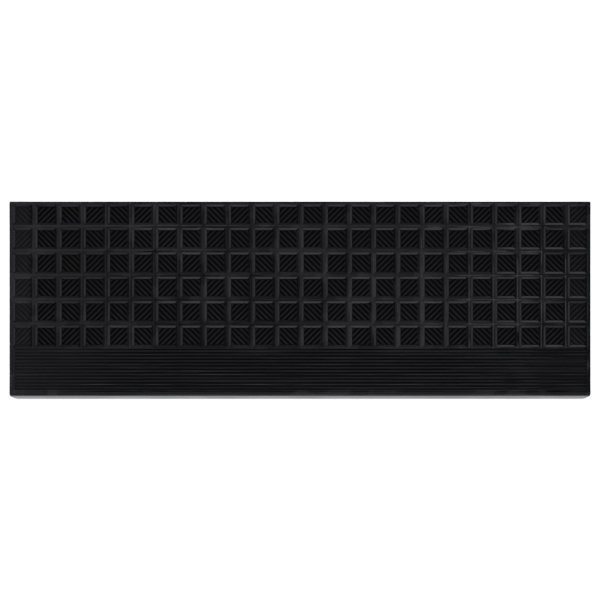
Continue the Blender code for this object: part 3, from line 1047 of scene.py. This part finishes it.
def build_lip():
    """The band, the rolled bend and the hanging lip, with its round lower corners."""
    outline = lip_outline()
    radius = FRONT_CORNER
    places = list(stations(0, HALF_LENGTH - radius, LIP_STEP))
    for step in range(1, LIP_CORNER_STEPS + 1):
        turn = math.pi / 2 * step / LIP_CORNER_STEPS
        places.append(HALF_LENGTH - radius * (1 - math.sin(turn)))
    places = sorted({-place for place in places} | set(places))
    sections = []
    for x in places:
        into_corner = max(abs(x) - (HALF_LENGTH - radius), 0)
        pull = radius - math.sqrt(max(radius**2 - into_corner**2, 0))
        reach = FRONT_Y + pull
        sections.append([(x, max(y, reach), z) for y, z in outline])
    points, faces = loft(sections)
    points, faces = weld(settle(points, LIP_SETTLE_LOW), faces)
    hanging = [middle_height(points, face) < LIP_DULL_LEVEL for face in faces]
    replaced = ["nosing_bend", "front_lip"]
    second = (lip_rubber(), hanging)
    add_piece("mat_nosing_lip", points, faces, raised_rubber(), replaced, second)


# -------- stage


def stage_material():
    """Matt white that is lit from within as well, so that it stays even."""
    material = bpy.data.materials.new("stage_white")
    material.use_nodes = True
    sockets = material.node_tree.nodes["Principled BSDF"].inputs
    sockets["Base Color"].default_value = (*bpy.context.scene.step_mat_stage.floor_colour, 1)
    sockets["Roughness"].default_value = 0.9
    sockets["Specular IOR Level"].default_value = 0.1
    sockets["Emission Color"].default_value = (1, 1, 1, 1)
    sockets["Emission Strength"].default_value = FLOOR_GLOW
    return material


def add_stage_mesh(name, points, faces, material):
    mesh = bpy.data.meshes.new(name)
    mesh.from_pydata(points, [], faces)
    mesh.materials.append(material)
    piece = bpy.data.objects.new(name, mesh)
    bpy.context.scene.collection.objects.link(piece)
    return piece


def add_softbox(name, place, aim, size, radiance):
    """An area light whose face has this brightness. It isn't seen by the camera."""
    lamp = bpy.data.lights.new(name, "AREA")
    lamp.shape = "RECTANGLE"
    lamp.size, lamp.size_y = size
    lamp.color = LAMP_TINT
    lamp.energy = radiance * math.pi * size[0] * size[1]
    softbox = bpy.data.objects.new(name, lamp)
    softbox.location = place
    softbox.rotation_euler = (Vector(aim) - Vector(place)).to_track_quat("-Z", "Y").to_euler()
    softbox.visible_camera = False
    bpy.context.scene.collection.objects.link(softbox)


def add_ceiling_panel(name, extent, height, strength):
    """An overhead sheet that glows, over (low x, high x, low y, high y). The camera doesn't see it.

    strength(tree) gives the socket that drives its glow, or it is a number.
    """
    material = bpy.data.materials.new(name)
    material.use_nodes = True
    tree = material.node_tree
    tree.nodes.clear()
    strength = strength(tree) if callable(strength) else strength
    emission = add_node(tree, "ShaderNodeEmission", Color=(*LAMP_TINT, 1), Strength=strength)
    add_node(tree, "ShaderNodeOutputMaterial", Surface=emission.outputs["Emission"])
    low_x, high_x, low_y, high_y = extent
    corners = [(low_x, low_y), (low_x, high_y), (high_x, high_y), (high_x, low_y)]
    panel = add_stage_mesh(name, [(x, y, height) for x, y in corners], [(0, 1, 2, 3)], material)
    panel.visible_camera = False
    panel.visible_shadow = False


def ceiling_glow(tree):
    """The glow of a translucent panel that is lit unevenly from above, and less at the right."""
    place = tree.nodes.new("ShaderNodeTexCoord").outputs["Object"]
    cloud = noise(tree, place, Scale=4.5, Detail=2.5, Roughness=0.5)
    glow = map_range(tree, cloud, *CEILING_CLOUD, *CEILING_GLOW, kind="SMOOTHSTEP")
    shade = map_range(tree, along_x(tree, place), *CEILING_SHADE_X, 1.0, CEILING_SHADE, kind="SMOOTHSTEP")
    return math_node(tree, "MULTIPLY", glow, shade)


def add_ground():
    """The floor, and the step that the mat lies on."""
    white = stage_material()
    reach = FLOOR_REACH
    floor = [(-reach, -reach, 0), (reach, -reach, 0), (reach, reach, 0), (-reach, reach, 0)]
    add_stage_mesh("stage_floor", floor, [(0, 1, 2, 3)], white)
    low = (-HALF_LENGTH + STEP_INSET, FRONT_Y + STEP_FRONT_INSET, STEP_GAP)
    high = (HALF_LENGTH - STEP_INSET, BACK_Y - STEP_INSET, UNDERSIDE - STEP_GAP)
    corners = [(x, y, z) for z in (low[2], high[2]) for y in (low[1], high[1]) for x in (low[0], high[0])]
    sides = [(0, 2, 3, 1), (4, 5, 7, 6), (0, 1, 5, 4), (1, 3, 7, 5), (3, 2, 6, 7), (2, 0, 4, 6)]
    add_stage_mesh("stage_step", corners, sides, white)


def add_world():
    """A white backdrop for the camera, which lights the mat only faintly."""
    world = bpy.data.worlds.new("studio")
    bpy.context.scene.world = world
    world.use_nodes = True
    nodes, link = world.node_tree.nodes, world.node_tree.links.new
    ambient = nodes["Background"]
    backdrop = nodes.new("ShaderNodeBackground")
    for background, strength in ((ambient, AMBIENT), (backdrop, 1.0)):
        background.inputs["Color"].default_value = (1, 1, 1, 1)
        background.inputs["Strength"].default_value = strength
    mix = nodes.new("ShaderNodeMixShader")
    link(nodes.new("ShaderNodeLightPath").outputs["Is Camera Ray"], mix.inputs[0])
    link(ambient.outputs[0], mix.inputs[1])
    link(backdrop.outputs[0], mix.inputs[2])
    link(mix.outputs[0], nodes["World Output"].inputs["Surface"])


def add_camera():
    look = bpy.context.scene.step_mat_stage
    camera = bpy.data.cameras.new("camera")
    camera.sensor_width = 36.0
    camera.lens = camera.sensor_width * look.camera_height / look.frame_width
    camera.clip_end = 50.0
    eye = bpy.data.objects.new("camera", camera)
    eye.location = (0.0, CAMERA_Y, TOP + look.camera_height)
    bpy.context.scene.collection.objects.link(eye)
    bpy.context.scene.camera = eye
    bpy.context.scene.view_settings.view_transform = "Standard"


def build_stage():
    """The floor and step, the lights overhead and around, the backdrop and the camera."""
    add_ground()
    for softbox in SOFTBOXES:
        add_softbox(*softbox)
    add_ceiling_panel("stage_ceiling", CEILING, CEILING_HEIGHT, ceiling_glow)
    add_ceiling_panel("stage_ceiling_gap", CEILING_GAP, CEILING_GAP_HEIGHT, CEILING_GAP_RADIANCE)
    add_world()
    add_camera()


# -------- add-on


class STEPMAT_OT_add_sheet(bpy.types.Operator):
    """Adds the sheet that lies on the step"""

    bl_idname = "step_mat.add_sheet"
    bl_label = "Sheet"

    def execute(self, context):
        build_sheet()
        return {"FINISHED"}


class STEPMAT_OT_add_rims(bpy.types.Operator):
    """Adds the side rims, the back rim and the front bar"""

    bl_idname = "step_mat.add_rims"
    bl_label = "Rims"

    def execute(self, context):
        build_side_rim(-1, "left_rim")
        build_side_rim(1, "right_rim")
        build_back_rim()
        build_front_bar()
        return {"FINISHED"}


class STEPMAT_OT_add_lattice(bpy.types.Operator):
    """Adds the raised grid of bars"""

    bl_idname = "step_mat.add_lattice"
    bl_label = "Lattice"

    def execute(self, context):
        build_lattice()
        return {"FINISHED"}


class STEPMAT_OT_add_tread(bpy.types.Operator):
    """Adds the cell floors with their diagonal ribs, row by row"""

    bl_idname = "step_mat.add_tread"
    bl_label = "Tread rows"

    def execute(self, context):
        for row in range(ROWS):
            build_tread_row(row)
        return {"FINISHED"}


class STEPMAT_OT_add_nosing(bpy.types.Operator):
    """Adds the nosing's floor and its straight ribs"""

    bl_idname = "step_mat.add_nosing"
    bl_label = "Nosing ribs"

    def execute(self, context):
        build_nosing_pad()
        for name in NOSING_RIB_NAMES:
            build_nosing_rib(name)
        return {"FINISHED"}


class STEPMAT_OT_add_lip(bpy.types.Operator):
    """Adds the rolled front edge and the lip that hangs from it"""

    bl_idname = "step_mat.add_lip"
    bl_label = "Lip"

    def execute(self, context):
        build_lip()
        return {"FINISHED"}


class STEPMAT_OT_add_stage(bpy.types.Operator):
    """Adds the floor, the step, the lights and the camera"""

    bl_idname = "step_mat.add_stage"
    bl_label = "Stage"

    def execute(self, context):
        build_stage()
        return {"FINISHED"}


OPERATORS = (
    STEPMAT_OT_add_sheet,
    STEPMAT_OT_add_rims,
    STEPMAT_OT_add_lattice,
    STEPMAT_OT_add_tread,
    STEPMAT_OT_add_nosing,
    STEPMAT_OT_add_lip,
    STEPMAT_OT_add_stage,
)


class STEPMAT_PT_panel(bpy.types.Panel):
    """Sizes, finish and pieces of the step mat"""

    bl_idname = "STEPMAT_PT_panel"
    bl_label = "Step Mat"
    bl_space_type = "VIEW_3D"
    bl_region_type = "UI"
    bl_category = "Step Mat"

    def draw(self, context):
        scene = context.scene
        for group in (scene.step_mat_sizes, scene.step_mat_finish, scene.step_mat_stage):
            box = self.layout.box()
            for key in group.bl_rna.properties.keys():
                if key not in ("name", "rna_type"):
                    box.prop(group, key)
        for operator in OPERATORS:
            self.layout.operator(operator.bl_idname)


GROUPS = (StepMatSizes, StepMatFinish, StepMatStage)


def register():
    for cls in (*GROUPS, *OPERATORS, STEPMAT_PT_panel):
        bpy.utils.register_class(cls)
    bpy.types.Scene.step_mat_sizes = bpy.props.PointerProperty(type=StepMatSizes)
    bpy.types.Scene.step_mat_finish = bpy.props.PointerProperty(type=StepMatFinish)
    bpy.types.Scene.step_mat_stage = bpy.props.PointerProperty(type=StepMatStage)


def unregister():
    del bpy.types.Scene.step_mat_stage
    del bpy.types.Scene.step_mat_finish
    del bpy.types.Scene.step_mat_sizes
    for cls in reversed((*GROUPS, *OPERATORS, STEPMAT_PT_panel)):
        bpy.utils.unregister_class(cls)


def main():
    register()
    bpy.ops.step_mat.add_sheet()
    bpy.ops.step_mat.add_rims()
    bpy.ops.step_mat.add_lattice()
    bpy.ops.step_mat.add_tread()
    bpy.ops.step_mat.add_nosing()
    bpy.ops.step_mat.add_lip()
    bpy.ops.step_mat.add_stage()


if __name__ == "__main__":
    main()
